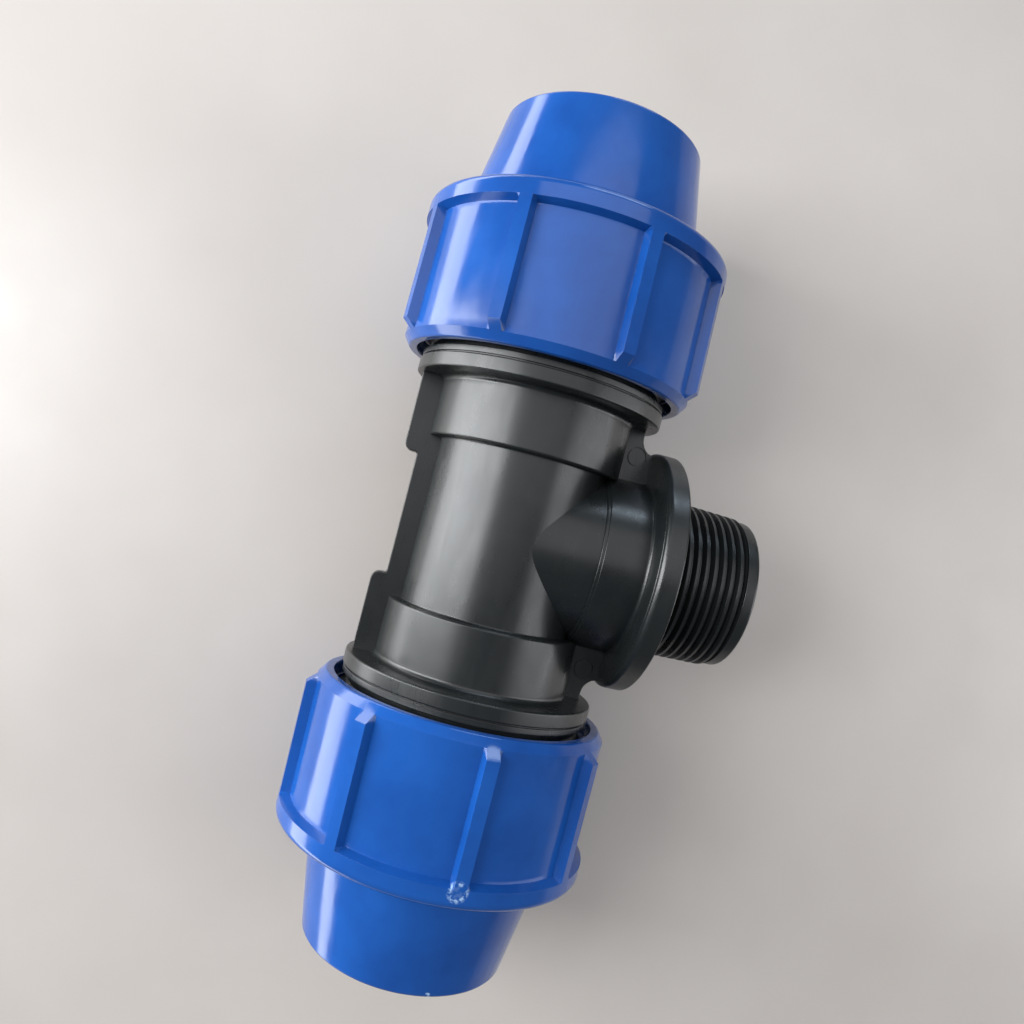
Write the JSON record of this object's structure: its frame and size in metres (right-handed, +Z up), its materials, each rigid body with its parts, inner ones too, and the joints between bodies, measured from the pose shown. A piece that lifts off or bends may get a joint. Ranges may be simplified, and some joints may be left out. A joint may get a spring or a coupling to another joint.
{
  "type": "compression tee fitting",
  "caption": "Compression tee for plastic pipe: black body with a male threaded branch and a ribbed blue clamping nut on each end of the run.",
  "frame": {"origin": "middle of the bounding box at its base: on the surface that the nuts rest on", "axes": "+Z up, run axis along Y with end a towards +Y, branch pointing along +X"},
  "size_m": [0.1032, 0.214, 0.0803],
  "materials": {
    "body_black": "satin moulded polypropylene",
    "nut_blue": "glossy moulded polypropylene",
    "grip_natural": "natural acetal",
    "bush_black": "satin moulded polypropylene",
    "seal_rubber": "nitrile rubber"
  },
  "bodies": {
    "tee": {"tee_body": "body_black", "seal_ring_a": "seal_rubber", "seal_ring_b": "seal_rubber"},
    "grip_a": {"grip_ring_a": "grip_natural"},
    "clamp_nut_a": {"nut_a": "nut_blue"},
    "bush_a": {"thrust_bush_a": "bush_black"},
    "grip_b": {"grip_ring_b": "grip_natural"},
    "clamp_nut_b": {"nut_b": "nut_blue"},
    "bush_b": {"thrust_bush_b": "bush_black"}
  },
  "joints": [
    {"name": "grip_a_travel", "type": "slide", "parent": "tee", "child": "grip_a", "axis": [0, 1, 0], "range_m": [-0.0018, 0.0126]},
    {"name": "nut_a_turn", "type": "hinge", "parent": "grip_a", "child": "clamp_nut_a", "pos_m": [-0.01147, 0, 0.04016], "axis": [0, 1, 0], "range_deg": [-126, 900]},
    {"name": "bush_a_travel", "type": "slide", "parent": "tee", "child": "bush_a", "axis": [0, 1, 0], "range_m": [0, 0.002]},
    {"name": "grip_b_travel", "type": "slide", "parent": "tee", "child": "grip_b", "axis": [0, -1, 0], "range_m": [-0.0018, 0.0126]},
    {"name": "nut_b_turn", "type": "hinge", "parent": "grip_b", "child": "clamp_nut_b", "pos_m": [-0.01147, 0, 0.04016], "axis": [0, -1, 0], "range_deg": [-126, 900]},
    {"name": "bush_b_travel", "type": "slide", "parent": "tee", "child": "bush_b", "axis": [0, -1, 0], "range_m": [0, 0.002]}
  ],
  "couplings": [
    {"joint": "grip_a_travel", "follows": "nut_a_turn", "m_per_rad": 0.00079577},
    {"joint": "grip_b_travel", "follows": "nut_b_turn", "m_per_rad": 0.00079577}
  ]
}
